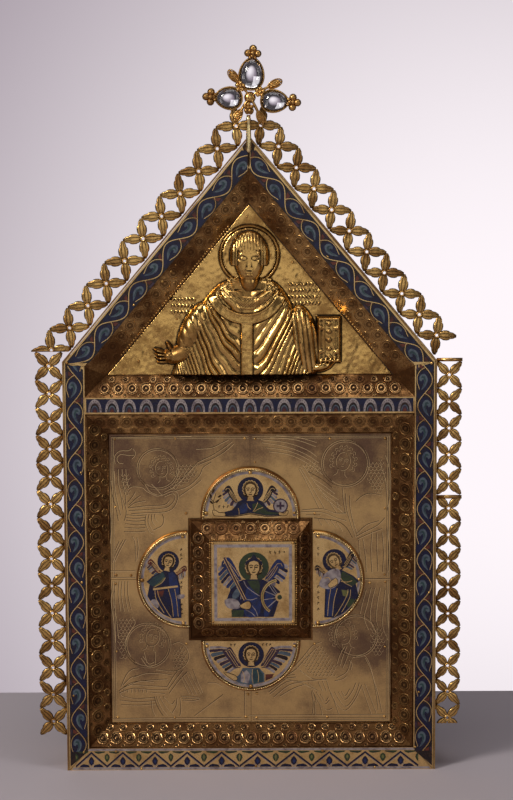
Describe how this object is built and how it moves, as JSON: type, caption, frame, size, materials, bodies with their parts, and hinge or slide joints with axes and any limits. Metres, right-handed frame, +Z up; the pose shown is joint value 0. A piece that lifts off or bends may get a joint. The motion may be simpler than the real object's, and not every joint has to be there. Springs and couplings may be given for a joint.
{
  "type": "gable-shaped reliquary",
  "caption": "House-gable reliquary case with enamel borders, stamped bands, a saint in relief, engraved plates, a raised lobed centre, openwork crests and a crystal finial.",
  "frame": {"origin": "middle of the case's underside", "axes": "+Z up towards the finial, front face towards -Y, +X to the viewer's right seen from the front"},
  "size_m": [0.3329, 0.073, 0.5625],
  "materials": {
    "oak": "old bare oak",
    "gilt_copper": "worn gilding",
    "stamped_copper": "stamped, dark worn gilding",
    "engraved_copper": "engraved, tarnished gilding",
    "enamel": "champleve enamel in gilt copper plates",
    "rock_crystal": "polished, clear"
  },
  "bodies": {
    "root": {"back_board": "oak", "boss_enamel": "enamel", "boss_frame": "stamped_copper", "crystal_left": "rock_crystal", "crystal_right": "rock_crystal", "crystal_top": "rock_crystal", "enamel_arcade": "enamel", "enamel_base_rail": "enamel", "enamel_rake_left": "enamel", "enamel_rake_right": "enamel", "enamel_stile_left": "enamel", "enamel_stile_right": "enamel", "engraved_plate_lower_left": "engraved_copper", "engraved_plate_lower_right": "engraved_copper", "engraved_plate_upper_left": "engraved_copper", "engraved_plate_upper_right": "engraved_copper", "finial_mount": "gilt_copper", "finial_stem": "gilt_copper", "gable_band_left": "stamped_copper", "gable_band_right": "stamped_copper", "gable_band_sill": "stamped_copper", "gable_relief": "gilt_copper", "lobe_enamel_bottom": "enamel", "lobe_enamel_left": "enamel", "lobe_enamel_right": "enamel", "lobe_enamel_top": "enamel", "lobe_rim_bottom": "gilt_copper", "lobe_rim_left": "gilt_copper", "lobe_rim_right": "gilt_copper", "lobe_rim_top": "gilt_copper", "lower_band_bottom": "stamped_copper", "lower_band_left": "stamped_copper", "lower_band_right": "stamped_copper", "lower_band_top": "stamped_copper", "oak_case": "oak", "rake_crest_left": "gilt_copper", "rake_crest_right": "gilt_copper", "roof_cladding_left": "gilt_copper", "roof_cladding_right": "gilt_copper", "side_cladding_left": "gilt_copper", "side_cladding_right": "gilt_copper", "side_crest_left_lower": "gilt_copper", "side_crest_left_upper": "gilt_copper", "side_crest_right_lower": "gilt_copper", "side_crest_right_upper": "gilt_copper"}
  },
  "joints": []
}
